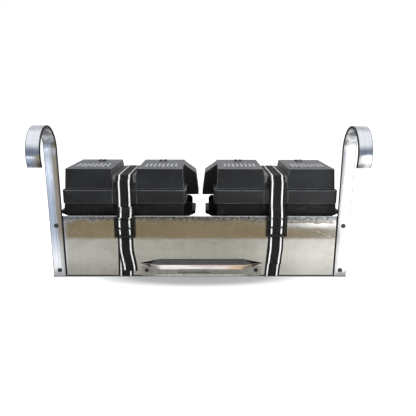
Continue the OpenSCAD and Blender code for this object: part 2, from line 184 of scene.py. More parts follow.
def polished_sheet():
    """Mill-polished sheet with rolling marks, stains and scratches, and a hammered hem whose dents are darker
    in their hollows as painted shade, with a painted highlight along the top rim and a painted shadow along
    the foot.
    """
    s = Shader("polished_sheet", 1.0)
    whole = s.place()
    height = s.add("ShaderNodeSeparateXYZ", {"Vector": whole}).outputs[2]
    along = s.noise(s.place(scale=(6, 6, 260)), 9, 4)
    down = s.noise(s.place(scale=(90, 90, 6)), 1.0, 5, 0.6)
    stain = s.noise(s.place(scale=(9, 9, 14)), 1.6, 5, 0.6)
    scratch = s.between(s.noise(s.place(scale=(16, 16, 900)), 3, 2), 0.66, 0.72)
    dull_and_painted_shade = s.between(stain, 0.45, 0.8)
    colour = s.blend(dull_and_painted_shade, (0.78, 0.765, 0.73), (0.62, 0.605, 0.57))
    colour = s.blend(s.between(down, 0.35, 0.7, 0.0, 0.16), colour, (0.50, 0.48, 0.44))
    smear = s.between(s.noise(s.place(scale=(5, 5, 9)), 4.0, 6, 0.66), 0.52, 0.74, 0.0, 0.5)
    colour = s.blend(smear, colour, (0.52, 0.505, 0.46))
    rough = s.math("ADD", s.between(along, 0.3, 0.7, 0.035, 0.06), s.math("MULTIPLY", dull_and_painted_shade, 0.05))
    rough = s.math("ADD", rough, s.math("MULTIPLY", scratch, 0.12))
    normal = s.bump(along, 0.00002, 0.3)
    normal = s.bump(scratch, 0.00004, 0.5, normal)

    dents = s.noise(whole, 130, 4, 0.65)
    ragged = s.math("ADD", height, s.math("MULTIPLY", s.math("SUBTRACT", s.noise(whole, 45, 4), 0.5), 0.012))
    top = BASE + TRAY_H * MM
    hem = s.between(ragged, top - 0.0175, top - 0.0075)
    # Painted shade: the hem band is mottled by its hammer dents, with the dents' hollows darker.
    hem_dents_and_painted_shade = s.blend(s.between(dents, 0.34, 0.66), (0.10, 0.105, 0.11), (0.52, 0.53, 0.55))
    colour = s.blend(hem, colour, hem_dents_and_painted_shade)
    rough = s.math("ADD", rough, s.math("MULTIPLY", hem, 0.22))
    dented = s.bump(s.math("MULTIPLY", dents, hem), 0.0012, 0.8, normal)
    # Painted highlight: a bright line along the rolled top rim.
    painted_edge_highlight = s.between(height, top - 0.0014, top - 0.0007)
    colour = s.blend(painted_edge_highlight, colour, (0.92, 0.93, 0.94))
    # Painted shadow: a near-black band along the foot, where the sheet meets the floor.
    foot = s.between(height, BASE + 0.0032, BASE + 0.0018)
    colour = s.blend(foot, colour, (0.035, 0.034, 0.031))
    return s.finish(colour, rough, dented)


def brushed_bar():
    """Flat bar brushed along its length, darkened by painted shade on top of its bend and on the bend's
    underside, and with dark painted shade along its edges and side faces.
    """
    s = Shader("bar_aluminium", 1.0)
    whole = s.place()
    fine = s.noise(s.place("UV", (110, 4, 1)), 1.0, 4, 0.7)
    broad = s.noise(s.place("UV", (15, 2.2, 1)), 1.0, 4, 0.6)
    mottle = s.noise(whole, 38, 4)
    nicks = s.between(s.noise(whole, 170, 3), 0.68, 0.76)
    streak = s.math("ADD", s.math("MULTIPLY", fine, 0.55), s.math("MULTIPLY", broad, 0.45))
    streak = s.between(streak, 0.36, 0.60)
    colour = s.blend(streak, (0.52, 0.545, 0.59), (0.97, 0.98, 1.0))
    colour = s.blend(s.between(mottle, 0.55, 0.78, 0.0, 0.35), colour, (0.48, 0.50, 0.54))
    facing = s.add("ShaderNodeSeparateXYZ", {"Vector": s.add("ShaderNodeTexCoord").outputs["Normal"]}).outputs
    up = facing[2]
    # Painted shade: the top of the bend and its underside are darkened to a mottled grey.
    dull_and_painted_shade = s.blend(s.between(s.noise(whole, 120, 4), 0.35, 0.65), (0.22, 0.225, 0.23), (0.44, 0.445, 0.455))
    painted_shade_under_bend = s.between(up, -0.10, -0.30)
    colour = s.blend(s.math("MAXIMUM", painted_shade_under_bend, s.between(up, 0.80, 0.93, 0.0, 0.75)), colour, dull_and_painted_shade)
    colour = s.blend(s.math("MULTIPLY", nicks, 0.6), colour, (0.20, 0.21, 0.23))
    across = s.add("ShaderNodeSeparateXYZ", {"Vector": s.add("ShaderNodeTexCoord").outputs["UV"]}).outputs[0]
    off = s.math("ABSOLUTE", s.math("SUBTRACT", across, 0.5))
    off = s.math("ADD", off, s.math("MULTIPLY", s.math("SUBTRACT", s.noise(whole, 90, 3), 0.5), 0.014))
    aside = s.math("ABSOLUTE", s.add("ShaderNodeSeparateXYZ", {"Vector": whole}).outputs[0])
    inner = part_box("right_hook")[0].x
    # Painted shade: dark lines along the bar's long rims and its inner side, and on its side faces.
    painted_edge_light = s.math("MAXIMUM", s.between(off, 0.448, 0.468), s.between(aside, inner + 0.0030, inner + 0.0016))
    painted_edge_light = s.math("MAXIMUM", painted_edge_light, s.between(s.math("ABSOLUTE", facing[0]), 0.35, 0.6))
    colour = s.blend(painted_edge_light, colour, s.blend(mottle, (0.012, 0.012, 0.013), (0.05, 0.05, 0.053)))
    rough = s.math("ADD", s.between(fine, 0.3, 0.7, 0.13, 0.24), s.between(mottle, 0.4, 0.8, 0.0, 0.08))
    rough = s.math("ADD", rough, s.math("MULTIPLY", painted_edge_light, 0.3))
    normal = s.bump(fine, 0.00004, 0.6)
    normal = s.bump(mottle, 0.0004, 0.25, normal)
    return s.finish(colour, rough, normal, Anisotropic=0.4)


def bright_trim():
    """Bright pressed trim: hazy flange, painted shade on the upward facet, painted reflections as pale and
    brownish streaks on the downward facet, and painted shade along sharp edges.
    """
    s = Shader("bright_trim", 1.0)
    whole = s.place()
    haze = s.noise(whole, 60, 4)
    wipe = s.noise(s.place(scale=(12, 12, 500)), 6, 3)
    streak = s.noise(s.place(scale=(14, 60, 420)), 1.0, 4, 0.6)
    up = s.add("ShaderNodeSeparateXYZ", {"Vector": s.add("ShaderNodeTexCoord").outputs["Normal"]}).outputs[2]
    colour = s.blend(s.between(haze, 0.4, 0.75), (0.60, 0.595, 0.58), (0.44, 0.43, 0.415))
    # Painted reflections: the downward-facing facet gets pale and coloured streaks, brownish towards the
    # right end.
    lower = s.blend(s.between(streak, 0.46, 0.62), (0.97, 0.965, 0.96), (0.66, 0.50, 0.49))
    along = s.add("ShaderNodeSeparateXYZ", {"Vector": whole}).outputs[0]
    painted_warm_reflection = s.math("MULTIPLY", s.between(along, 0.04, 0.09), s.between(streak, 0.40, 0.55))
    lower = s.blend(painted_warm_reflection, lower, (0.60, 0.42, 0.25))
    colour = s.blend(s.between(up, -0.2, -0.45), colour, lower)
    # Painted shade: the upward-facing facet is darkened.
    upper = s.blend(haze, (0.055, 0.055, 0.057), (0.115, 0.112, 0.108))
    colour = s.blend(s.between(up, 0.2, 0.45), colour, upper)
    # Painted shade: dark lines along the trim's sharp edges.
    colour = s.blend(s.edges(0.0017, 0.02, 0.15), colour, (0.04, 0.04, 0.042))
    rough = s.math("ADD", s.between(haze, 0.3, 0.8, 0.05, 0.14), s.between(wipe, 0.6, 0.75, 0.0, 0.08))
    return s.finish(colour, rough, s.bump(wipe, 0.00002, 0.4))


def fastener_steel():
    """Dull plated steel with tarnish in patches."""
    s = Shader("fastener_steel", 1.0)
    tarnish = s.noise(s.place(), 220, 4)
    colour = s.blend(s.between(tarnish, 0.35, 0.65), (0.17, 0.165, 0.155), (0.04, 0.038, 0.035))
    return s.finish(colour, s.between(tarnish, 0.3, 0.7, 0.26, 0.44), s.bump(tarnish, 0.0001, 0.4))


def moulded_plastic(name, dark, pale, rough, shine=0.5, painted_edge_highlight=(0.15, 0.155, 0.16), grain=1900,
                    grain_depth=0.00009):
    """Moulded plastic with a fine grain, faint flow marks, dust in patches, and edges made paler in patches
    by a painted highlight.
    """
    s = Shader(name)
    whole = s.place()
    cells = s.noise(whole, grain, 2, 0.6)
    flow = s.noise(s.place(scale=(3, 3, 8)), 3.2, 4)
    dust = s.between(s.noise(whole, 75, 6, 0.7), 0.58, 0.82)
    colour = s.blend(s.between(flow, 0.3, 0.75), dark, pale)
    colour = s.blend(s.math("MULTIPLY", dust, 0.10), colour, (0.22, 0.22, 0.21))
    # Painted highlight: paler along sharp edges, in patches.
    painted_edge_light = s.math("MULTIPLY", s.edges(0.0016), s.between(s.noise(whole, 40, 4), 0.30, 0.62, 0.35, 1.0))
    colour = s.blend(painted_edge_light, colour, painted_edge_highlight)
    roughness = s.between(flow, 0.3, 0.7, rough - 0.05, rough + 0.06)
    roughness = s.math("ADD", roughness, s.math("MULTIPLY", dust, 0.1))
    return s.finish(colour, roughness, s.bump(cells, grain_depth, 0.8), Specular_IOR_Level=shine)


STRAP_W = 38.1
STRIPE_PLACE = 12.3 / STRAP_W
STRIPE_HALF = 1.85 / STRAP_W
WEAVE_RIBS = 22
THREAD_PITCH = 0.0021


def webbing():
    """Black ribbed webbing with two pale woven stripes. UV: u across the width, v along it in metres."""
    s = Shader("webbing")
    uv = s.add("ShaderNodeSeparateXYZ", {"Vector": s.add("ShaderNodeTexCoord").outputs["UV"]})
    across, along = uv.outputs[0], uv.outputs[1]
    rib_phase = s.math("MULTIPLY", across, 2 * math.pi * WEAVE_RIBS)
    rib = s.math("SINE", rib_phase)
    step = s.math("FLOOR", s.math("MULTIPLY", across, WEAVE_RIBS))
    step = s.math("FRACT", s.math("MULTIPLY", step, 0.5))
    thread = s.math("SINE", s.math("ADD", s.math("MULTIPLY", along, 2 * math.pi / THREAD_PITCH),
                                   s.math("MULTIPLY", step, 2 * math.pi)))
    weave = s.math("ADD", s.math("MULTIPLY", s.math("ABSOLUTE", rib), 0.6), s.math("MULTIPLY", thread, 0.5))
    fuzz = s.noise(s.place("UV", (60, 1600, 1)), 1.0, 4, 0.7)
    worn = s.noise(s.place("UV", (2, 16, 1)), 2.2, 4, 0.6)
    off = s.math("ABSOLUTE", s.math("SUBTRACT", across, 0.5))
    ragged = s.math("ADD", off, s.math("MULTIPLY", s.math("SUBTRACT", fuzz, 0.5), 0.012))
    near = s.math("ABSOLUTE", s.math("SUBTRACT", ragged, STRIPE_PLACE))
    stripe = s.between(near, STRIPE_HALF + 0.006, STRIPE_HALF - 0.006)
    black = s.blend(s.between(weave, -0.3, 1.0), (0.002, 0.002, 0.0021), (0.010, 0.010, 0.0104))
    black = s.blend(s.math("MULTIPLY", s.between(worn, 0.5, 0.85), 0.35), black, (0.034, 0.034, 0.033))
    pale = s.blend(s.between(weave, -0.4, 1.0), (0.34, 0.34, 0.33), (0.68, 0.68, 0.66))
    pale = s.blend(s.math("MULTIPLY", s.between(worn, 0.45, 0.9), 0.4), pale, (0.36, 0.35, 0.33))
    normal = s.bump(s.math("ADD", weave, s.math("MULTIPLY", fuzz, 0.5)), 0.00028, 0.9)
    return s.finish(s.blend(stripe, black, pale), s.between(fuzz, 0.2, 0.8, 0.62, 0.85), normal,
                    Sheen_Weight=0.04, Sheen_Roughness=0.4, Specular_IOR_Level=0.14)


def sewing_thread():
    """Black polyester thread with its twist."""
    s = Shader("sewing_thread")
    twist = s.noise(s.place(), 2600, 2)
    colour = s.blend(twist, (0.008, 0.008, 0.008), (0.045, 0.045, 0.045))
    return s.finish(colour, 0.6, s.bump(twist, 0.0002, 0.6))


LOOKS = {
    "polished_sheet": polished_sheet(),
    "bar_aluminium": brushed_bar(),
    "bright_trim": bright_trim(),
    "fastener_steel": fastener_steel(),
    "lid_plastic": moulded_plastic("lid_plastic", (0.005, 0.0054, 0.006), (0.011, 0.012, 0.013), 0.42, 0.34),
    "tub_plastic": moulded_plastic("tub_plastic", (0.003, 0.003, 0.0031), (0.007, 0.0072, 0.007), 0.50, 0.18,
                                   (0.02, 0.021, 0.022)),
    "cap_plastic": moulded_plastic("cap_plastic", (0.004, 0.004, 0.004), (0.010, 0.010, 0.010), 0.40, 0.3),
    "buckle_plastic": moulded_plastic("buckle_plastic", (0.0015, 0.0015, 0.0016), (0.004, 0.004, 0.0042),
                                      0.26, 0.5, (0.012, 0.012, 0.012), grain=2600, grain_depth=0.00004),
    # The rib look is a paler copy of the lid plastic; its paleness is a painted highlight on the ribs.
    "pale_lit_rib_plastic": moulded_plastic("pale_lit_rib_plastic", (0.07, 0.07, 0.073), (0.15, 0.15, 0.155), 0.24),
    "webbing": webbing(),
    "thread": sewing_thread(),
}


# ---------- mesh building ----------

def make_piece(name, body, slot, points, faces, uvs=None, look=None, smooth=True):
    """A piece from points in the tray's millimetres, riding on a body unless body is None."""
    mesh = bpy.data.meshes.new(name)
    mesh.from_pydata([at(*p) for p in points], [], faces)
    mesh.update()
    if uvs is not None:
        layer = mesh.uv_layers.new(name="UVMap")
        for loop in mesh.loops:
            layer.data[loop.index].uv = uvs[loop.vertex_index]
    mesh.polygons.foreach_set("use_smooth", [smooth] * len(mesh.polygons))
    mesh.materials.append(LOOKS[look or slot])
    piece = bpy.data.objects.new(name, mesh)
    bpy.context.scene.collection.objects.link(piece)
    fix_normals(mesh)
    if body is not None:
        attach(piece, body)
    return piece


def fix_normals(mesh):
    """Turns all faces outwards."""
    bm = bmesh.new()
    bm.from_mesh(mesh)
    bmesh.ops.recalc_face_normals(bm, faces=bm.faces)
    bm.to_mesh(mesh)
    bm.free()


def round_edges(piece, width, segments=2, angle=30):
    """Rounds a piece's sharp edges by width millimetres, so that they catch the light."""
    bevel = piece.modifiers.new("rounded", "BEVEL")
    bevel.width = width * MM
    bevel.segments = segments
    bevel.limit_method = "ANGLE"
    bevel.angle_limit = math.radians(angle)
    bevel.harden_normals = True


def loft(rings):
    """Points and faces of a closed skin through rings that have the same number of points."""
    n = len(rings[0])
    points = [p for ring in rings for p in ring]
    faces = []
    for k in range(len(rings) - 1):
        for i in range(n):
            j = (i + 1) % n
            faces.append((k * n + i, k * n + j, (k + 1) * n + j, (k + 1) * n + i))
    faces.append(tuple(range(n - 1, -1, -1)))
    faces.append(tuple(range((len(rings) - 1) * n, len(rings) * n)))
    return points, faces


def round_ring(centre, half, r, z, arc=5, steps=(1, 1)):
    """Points round a rectangle with round corners; steps cuts its long and its short sides."""
    (cx, cy), (hx, hy) = centre, half
    ring = []
    corners = [(1, 1, 0, steps[0]), (-1, 1, 90, steps[1]), (-1, -1, 180, steps[0]), (1, -1, 270, steps[1])]
    for k, (sx, sy, start, cuts) in enumerate(corners):
        ox, oy = cx + sx * (hx - r), cy + sy * (hy - r)
        for i in range(arc + 1):
            a = math.radians(start + 90 * i / arc)
            ring.append((ox + r * math.cos(a), oy + r * math.sin(a), z))
        nx, ny, next_start, _ = corners[(k + 1) % 4]
        a = math.radians(next_start)
        goal = (cx + nx * (hx - r) + r * math.cos(a), cy + ny * (hy - r) + r * math.sin(a))
        last = ring[-1]
        for i in range(1, cuts):
            t = i / cuts
            ring.append((last[0] + t * (goal[0] - last[0]), last[1] + t * (goal[1] - last[1]), z))
    return ring


def rounded_line(points, radius, step=6):
    """A [y, z] line with its corners rounded; radius is a number, or one for each inner point."""
    out = [Vector(points[0])]
    for i in range(1, len(points) - 1):
        a, b, c = Vector(points[i - 1]), Vector(points[i]), Vector(points[i + 1])
        r = radius[i - 1] if isinstance(radius, (list, tuple)) else radius
        u, v = (a - b).normalized(), (c - b).normalized()
        angle = u.angle(v)
        if angle > math.radians(178) or r <= 0:
            out.append(b)
            continue
        reach = min(r / math.tan(angle / 2), (a - b).length * 0.49, (c - b).length * 0.49)
        p, q = b + u * reach, b + v * reach
        for k in range(step + 1):
            t = k / step
            out.append(p * (1 - t) ** 2 + b * (2 * t * (1 - t)) + q * t * t)
    out.append(Vector(points[-1]))
    return out


def evenly(line, gap):
    """The same line with points added so that none are further apart than gap."""
    out = [line[0]]
    for a, b in zip(line, line[1:]):
        n = max(1, math.ceil((b - a).length / gap))
        out.extend(a + (b - a) * (i / n) for i in range(1, n + 1))
    return out


def lefts(line):
    """The unit normals to the left of a [y, z] line."""
    out = []
    for i in range(len(line)):
        d = (line[min(i + 1, len(line) - 1)] - line[max(i - 1, 0)]).normalized()
        out.append(Vector((-d.y, d.x)))
    return out


def band_section(width, thick, ribs=11, depth=0.10, arc=3):
    """The outline of webbing cut across: [across, out], with soft edges and shallow ribs."""
    r = thick / 2
    half = width / 2 - r
    top = [(half - 2 * half * i / (ribs * 2), thick - depth * (i % 2)) for i in range(ribs * 2 + 1)]
    left = [(-half - r * math.sin(math.pi * i / (arc + 1)), r + r * math.cos(math.pi * i / (arc + 1)))
            for i in range(1, arc + 1)]
    bottom = [(-p[0], thick - p[1]) for p in top]
    right = [(-p[0], thick - p[1]) for p in left]
    return top + left + bottom + right


def sweep(line, section, x_at, start=0.0):
    """A section swept along a [y, z] line; x_at(y, z) is its middle. Gives points, faces and UVs."""
    normals = lefts(line)
    rings, uvs, run = [], [], start
    width = max(p[0] for p in section) - min(p[0] for p in section)
    for i, (p, n) in enumerate(zip(line, normals)):
        if i:
            run += (p - line[i - 1]).length
        x = x_at(p.x, p.y)
        rings.append([(x + a, p.x + n.x * b, p.y + n.y * b) for a, b in section])
        uvs.extend((0.5 + a / width, run * MM) for a, b in section)
    points, faces = loft(rings)
    return points, faces, uvs


def box_points(lo, hi):
    """The eight corners of a box, in the order that BOX_FACES needs."""
    (x0, y0, z0), (x1, y1, z1) = lo, hi
    return [(x0, y0, z0), (x1, y0, z0), (x1, y1, z0), (x0, y1, z0),
            (x0, y0, z1), (x1, y0, z1), (x1, y1, z1), (x0, y1, z1)]


BOX_FACES = [(0, 3, 2, 1), (4, 5, 6, 7), (0, 1, 5, 4), (1, 2, 6, 5), (2, 3, 7, 6), (3, 0, 4, 7)]


def join(blocks):
    """The points and faces of several blocks of eight points as one mesh."""
    points, faces = [], []
    for block in blocks:
        k = len(points)
        points += block
        faces += [tuple(k + i for i in f) for f in BOX_FACES]
    return points, faces


# ---------- carrier ----------

SHEET_T = 1.5
BEND_R = 1.6
INNER_BEND = 1.2
CORNER_R = 2.5
HEM_H = 12
REAR_H = 50


def build_tray():
    """The tray as one bent sheet with a hem, lower at the rear. Its profile is (inset, height)."""
    middle, half = (0, TRAY_D / 2), (TRAY_L / 2, TRAY_D / 2)
    profile = []
    for k in range(4):
        a = math.radians(30 * k)
        profile.append((BEND_R * (1 - math.sin(a)), BEND_R * (1 - math.cos(a))))
    profile += [(0, TRAY_H * share) for share in (0.33, 0.66)]
    for k in range(7):
        a = math.radians(30 * k)
        profile.append((SHEET_T * (1 - math.cos(a)), TRAY_H - SHEET_T * (1 - math.sin(a))))
    hem_foot = TRAY_H - HEM_H
    profile += [(2 * SHEET_T, hem_foot + 0.6), (2 * SHEET_T - 0.5, hem_foot), (SHEET_T + 0.2, hem_foot),
                (SHEET_T, hem_foot - 0.4), (SHEET_T, SHEET_T + INNER_BEND), (SHEET_T + 0.4, SHEET_T + 0.4),
                (SHEET_T + INNER_BEND, SHEET_T)]
    rings = []
    for inset, z in profile:
        corner = max(CORNER_R - inset, 0.4)
        rings.append(round_ring(middle, (half[0] - inset, half[1] - inset), corner, z, steps=(12, 4)))
    points, faces = loft(rings)
    slope_start, slope_end = 2 * SHEET_T, TRAY_D - SHEET_T

    def height_share(y):
        t = min(max((y - slope_start) / (slope_end - slope_start), 0), 1)
        return (TRAY_H + (REAR_H - TRAY_H) * t) / TRAY_H

    points = [(x, y, z * height_share(y)) for x, y, z in points]
    tray = make_piece("tray_sheet", "carrier", "polished_sheet", points, faces)
    weigh(tray)
    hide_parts("tray_floor", "tray_front", "tray_rear", "tray_left_end", "tray_right_end")


def weigh(piece):
    """Weighted normals, so that flat faces beside small roundings stay flat."""
    normals = piece.modifiers.new("weighted", "WEIGHTED_NORMAL")
    normals.keep_sharp = True


HOOK_R = 62
HOOK_Z = 320
HOOK_CURL = 24
BAR_T = 4.8
BAR_W = 31.75
BAR_CORNER = 6
BAR_EDGE_R = 0.9
HOOK_STEPS = 64


def bar_section(width, thick, r, arc=3):
    """The outline of a flat bar cut across: [across, out], with round edges."""
    out = []
    for sx, sy, start in ((1, 1, 0), (-1, 1, 90), (-1, -1, 180), (1, -1, 270)):
        cx, cy = sx * (width / 2 - r), thick / 2 + sy * (thick / 2 - r)
        for i in range(arc + 1):
            a = math.radians(start + 90 * i / arc)
            out.append((cx + r * math.cos(a), cy + r * math.sin(a)))
    return out


def build_hook(side):
    """One bar, straight up the tray's front and then bent over towards the front, with a rounded foot."""
    low, high = tray_box(f"{side}_hook")
    x = (low[0] + high[0]) / 2
    line = [Vector((0, z)) for z in (0, 0.4, 1.2, 2.4, 4.0, BAR_CORNER)]
    line += evenly([Vector((0, BAR_CORNER)), Vector((0, HOOK_Z))], 12)[1:]
    for k in range(1, HOOK_STEPS + 1):
        a = math.radians((180 + HOOK_CURL) * k / HOOK_STEPS)
        line.append(Vector((-HOOK_R + HOOK_R * math.cos(a), HOOK_Z + HOOK_R * math.sin(a))))
    section = bar_section(BAR_W, BAR_T, BAR_EDGE_R)
    points, faces, uvs = sweep(line, section, lambda y, z: x)
    n = len(section)
    for i, p in enumerate(line):
        if p.y < BAR_CORNER and abs(p.x) < 1:
            half = BAR_W / 2 - BAR_CORNER + math.sqrt(BAR_CORNER ** 2 - (BAR_CORNER - p.y) ** 2)
            for j in range(i * n, (i + 1) * n):
                px, py, pz = points[j]
                points[j] = (x + (px - x) * 2 * half / BAR_W, py, pz)
    bar = make_piece(f"{side}_hook_bar", "carrier", "bar_aluminium", points, faces, uvs)
    round_edges(bar, 0.4, 2, 60)
    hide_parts(f"{side}_hook")


# ---------- webbing ----------

STRAP_T = 1.6
STRAP_X = {"left": -BOX_X, "right": 190.4}
STRAP_LOW_X = {"left": -190.0, "right": 183.2}
BAR_ONE_Z = {"left": 154.5, "right": 157.3}
BAR_TWO_DROP = 9.7
BAR_Y = -4.1
INNER_R, OUTER_R = 2.3, 3.9
BACK, FRONT_FACE = -0.2, -6.4
LID_Y = (8.3, 207.7)
SHOULDER_Y, SHOULDER_Z, SHOULDER_R = 26, 248, 8.2
RIB_SHOULDER_R = 7.9
SEAM_Z = 60.0
LOOP_FRONT_DROP = 43.0
TAB_SHIFT = {"left": 3.4, "right": -0.6}
TAIL_LENGTH = {"left": 86, "right": 71}
TAIL_DRIFT = {"left": 8.0, "right": -3.4}
TAIL_CUT = {"left": -3.0, "right": -1.5}
DRIFT_START = 24
STITCHES = 11
STITCH_GAP = 3.3


def arc_line(centre, r, start, end, steps=10):
    """A [y, z] arc between two angles in degrees."""
    return [Vector((centre[0] + r * math.cos(math.radians(start + (end - start) * k / steps)),
                    centre[1] + r * math.sin(math.radians(start + (end - start) * k / steps))))
            for k in range(steps + 1)]


WEB = band_section(STRAP_W, STRAP_T)


def stitch(name, body, line, x, start, end, rows=3):
    """Rows of stitches across webbing that lies along a line, between two distances from its lower end."""
    lengths = [0.0]
    for a, b in zip(line, line[1:]):
        lengths.append(lengths[-1] + (b - a).length)
    normals = lefts(line)
    blocks = []
    for row in range(rows):
        run = start + (end - start) * row / (rows - 1)
        i = next(k for k in range(len(line) - 1) if lengths[k + 1] >= run)
        way, out = (line[i + 1] - line[i]).normalized(), normals[i]
        middle = line[i] + way * (run - lengths[i])
        for k in range(STITCHES):
            across = x - 16.5 + STITCH_GAP * k
            block = []
            for lift in (STRAP_T - 0.2, STRAP_T + 0.35):
                for dx, dw in ((-1.0, -0.35), (1.0, -0.35), (1.0, 0.35), (-1.0, 0.35)):
                    p = middle + way * dw + out * lift
                    block.append((across + dx, p.x, p.y))
            blocks.append(block)
    points, faces = join(blocks)
    make_piece(name, body, "webbing", points, faces, look="thread", smooth=False)


def build_strap(side):
    """One strap: over the lid, its sewn end, under the tray, through the buckle, and its hanging tail."""
    x, low_x = STRAP_X[side], STRAP_LOW_X[side]
    one = BAR_ONE_Z[side]
    two = one - BAR_TWO_DROP
    plane = BACK if side == "left" else FRONT_FACE

    over = rounded_line([(plane, one), (plane, 161), (LID_Y[0], 189.5), (LID_Y[0], 240)], [10, 16])
    over += arc_line((SHOULDER_Y, SHOULDER_Z), SHOULDER_R, 165, 90)
    over += arc_line((2 * BOX_Y - SHOULDER_Y, SHOULDER_Z), SHOULDER_R, 90, 15)
    over += rounded_line([(LID_Y[1], 240), (LID_Y[1], 186)], 1)
    if side == "left":
        turn = arc_line((BAR_Y, one), OUTER_R, 180, 360)
    else:
        turn = arc_line((BAR_Y, one), INNER_R, 0, -180)
    front = evenly(turn[:-1] + over, 3)
    points, faces, uvs = sweep(front, WEB, lambda y, z: x)
    upper = make_piece(f"{side}_webbing_over_lid", f"{side}_lid_body", "webbing", points, faces, uvs)
    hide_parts(f"{side}_strap_upper")

    if side == "left":
        line = rounded_line([(FRONT_FACE, one), (FRONT_FACE, one + 3), (-0.35, 168), (3.1, 180)], 5)
    else:
        line = rounded_line([(BACK, one), (BACK, 168), (5.8, 181)], 8)
    tab_x = x + TAB_SHIFT[side]
    sewn = evenly(line, 2.5)
    points, faces, uvs = sweep(sewn, WEB, lambda y, z: tab_x, 0.2)
    tab = make_piece(f"{side}_webbing_sewn_end", f"{side}_lid_body", "webbing", points, faces, uvs)
    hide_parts(f"{side}_strap_tab")
    if side == "left":
        stitch("left_webbing_stitches", "left_lid_body", sewn, tab_x, 16, 24)
    else:
        stitch("right_webbing_stitches", "right_lid_body", front, x, 23, 33)

    rear = TRAY_D + 0.2

    def lean(y, z):
        """The webbing's middle, which moves aside towards the tray's underside."""
        if y < TRAY_D / 2:
            return low_x + (x - low_x) * min(max(z, 0) / 100, 1)
        return low_x + (x - low_x) * min(max(z, 0) / REAR_H, 1)

    line = rounded_line([(LID_Y[1], 185.6), (rear, REAR_H + 3), (rear, 0), (BACK, 0), (BACK, SEAM_Z)],
                        [12, 2.6, 2.6])
    points, faces, uvs = sweep(evenly(line, 4), WEB, lean)
    below = make_piece(f"{side}_webbing_under_tray", None, "webbing", points, faces, uvs)
    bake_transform(below)
    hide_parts(f"{side}_strap_lower")

    line = [Vector((BACK, SEAM_Z)), Vector((BACK, two))] + arc_line((BAR_Y, two), OUTER_R, 0, 180)[1:]
    foot = (-3.6, two - LOOP_FRONT_DROP)
    line += rounded_line([(-8.0, two - 0.5), (-8.0, two - 10), (-5.6, two - 24), foot], [14, 14])
    points, faces, uvs = sweep(evenly(line, 3), WEB, lean)
    loop = make_piece(f"{side}_webbing_in_buckle", None, "webbing", points, faces, uvs)
    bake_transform(loop)
    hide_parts(f"{side}_strap_loop")

    length, drift, cut = TAIL_LENGTH[side], TAIL_DRIFT[side], TAIL_CUT[side]
    bend = [foot, (foot[0], foot[1] - length * 0.55), (foot[0], foot[1] - length)]
    line = evenly([Vector(p) for p in bend], 3)

    def drifted(y, z):
        t = min(max((foot[1] - DRIFT_START - z) / (length - DRIFT_START), 0), 1)
        return x + drift * t * t * (3 - 2 * t)

    points, faces, uvs = sweep(line, WEB, drifted, 0.3)
    end = foot[1] - length
    points = [(px, py, pz + cut * (px - x) / STRAP_W * max(0, 1 - (pz - end) / 12)) for px, py, pz in points]
    tail = make_piece(f"{side}_webbing_tail", None, "webbing", points, faces, uvs)
    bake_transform(tail)
    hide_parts(f"{side}_strap_tail")


# ---------- mouldings ----------

def show(node, slot, width, segments=2):
    """A CAD node shown with its own finish and softened edges."""
    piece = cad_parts[node]
    piece.data.materials.clear()
    piece.data.materials.append(LOOKS[slot])
    weld = piece.modifiers.new("weld", "WELD")
    weld.merge_threshold = 0.00002
    round_edges(piece, width, segments)


DASHES = 9
DASH_START, DASH_GAP, DASH_LENGTH, DASH_LEAN = -56, 9.6, 6.2, 1.2
DASH_Y, DASH_Z = (-1.7, -1.0), (8.4, 11.4)


def build_trim_marks():
    """A row of small raised dashes on the trim plate's flange, each leaning to the right."""
    blocks = []
    for k in range(DASHES):
        x = DASH_START + DASH_GAP * k
        dash = box_points((x, DASH_Y[0], DASH_Z[0]), (x + DASH_LENGTH, DASH_Y[1], DASH_Z[1]))
        blocks.append([(px + (DASH_LEAN if pz == DASH_Z[1] else 0), py, pz) for px, py, pz in dash])
    points, faces = join(blocks)
    # The dashes take the darker fastener look as painted shade, for the shadow that raised marks cast.
    marks = make_piece("trim_flange_dashes", "carrier", "bright_trim", points, faces, look="fastener_steel",
                       smooth=False)
    round_edges(marks, 0.25)


GRIP_RIBS = 8
GRIP_SPANS = ((-130, -44), (44, 130))
GRIP_Y = (46, 106)
GRIP_STAGGER = 5
GRIP_HALF, GRIP_SLOPE = 2.9, 1.1


def build_lid_ribs(side):
    """Raised ribs on top of each lobe, which give a grip when the lid is lifted."""
    middle = SIDES[side] * BOX_X
    blocks = []
    for start, end in GRIP_SPANS:
        for k in range(GRIP_RIBS):
            x = middle + start + (end - start) * (k + 0.5) / GRIP_RIBS
            front = GRIP_Y[0] + GRIP_STAGGER * (k % 2)
            back = GRIP_Y[1] - GRIP_STAGGER * ((k + 1) % 2)
            rib = box_points((x - GRIP_HALF, front, LID_TOP - 0.4), (x + GRIP_HALF, back, LID_TOP + 1.4))
            foot = rib[:4]
            crest = [(px + (GRIP_SLOPE if px < x else -GRIP_SLOPE), py, pz) for px, py, pz in rib[4:]]
            blocks.append(foot + crest)
    points, faces = join(blocks)
    # The grip ribs take the pale rib look, a painted highlight.
    ribs = make_piece(f"{side}_lid_grip_ribs", f"{side}_lid_body", "lid_plastic", points, faces,
                      look="pale_lit_rib_plastic", smooth=False)
    round_edges(ribs, 0.35)


